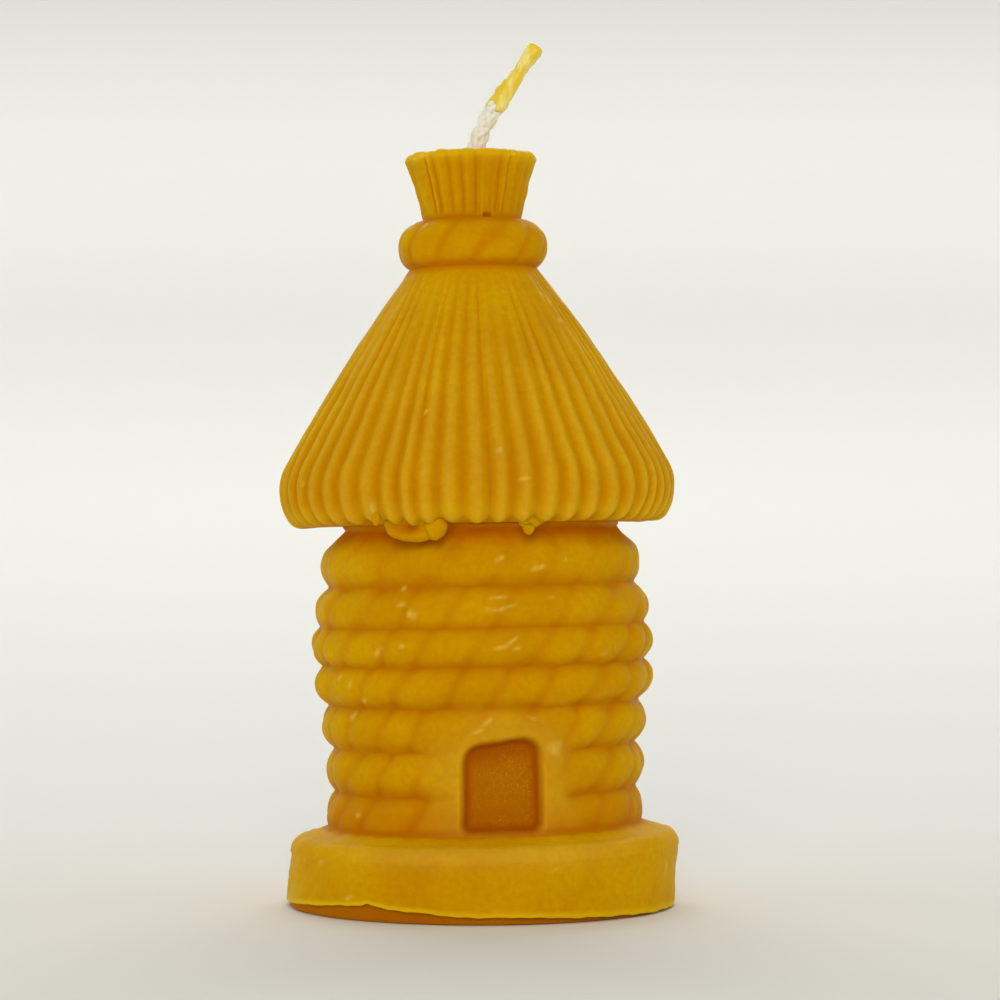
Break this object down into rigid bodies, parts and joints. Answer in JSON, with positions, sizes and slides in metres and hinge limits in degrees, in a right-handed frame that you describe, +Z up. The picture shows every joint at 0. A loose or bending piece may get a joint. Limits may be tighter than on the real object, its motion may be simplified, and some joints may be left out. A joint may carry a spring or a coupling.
{
  "type": "beehive candle",
  "caption": "Beeswax candle shaped as a straw rope beehive on a round plinth, with a fluted thatch roof, a tied straw knot and a bent cotton wick.",
  "frame": {"origin": "middle of the round flat foot, on the surface that the candle stands on", "axes": "+Z up; the doorway looks towards -Y; the wick's tip bends towards +X"},
  "size_m": [0.049, 0.0488, 0.1064],
  "materials": {
    "beeswax": "satin, slightly translucent honey-yellow beeswax",
    "wick_cotton": "unbleached cotton braid",
    "wick_wax": "thin satin beeswax over cotton"
  },
  "bodies": {
    "root": {"base_plinth": "beeswax", "hive_wall": "beeswax", "roof_thatch": "beeswax", "roof_tie": "beeswax", "topknot": "beeswax", "eave_nubs": "beeswax", "wick": "wick_cotton", "wick_wax_coat": "wick_wax"}
  },
  "joints": []
}
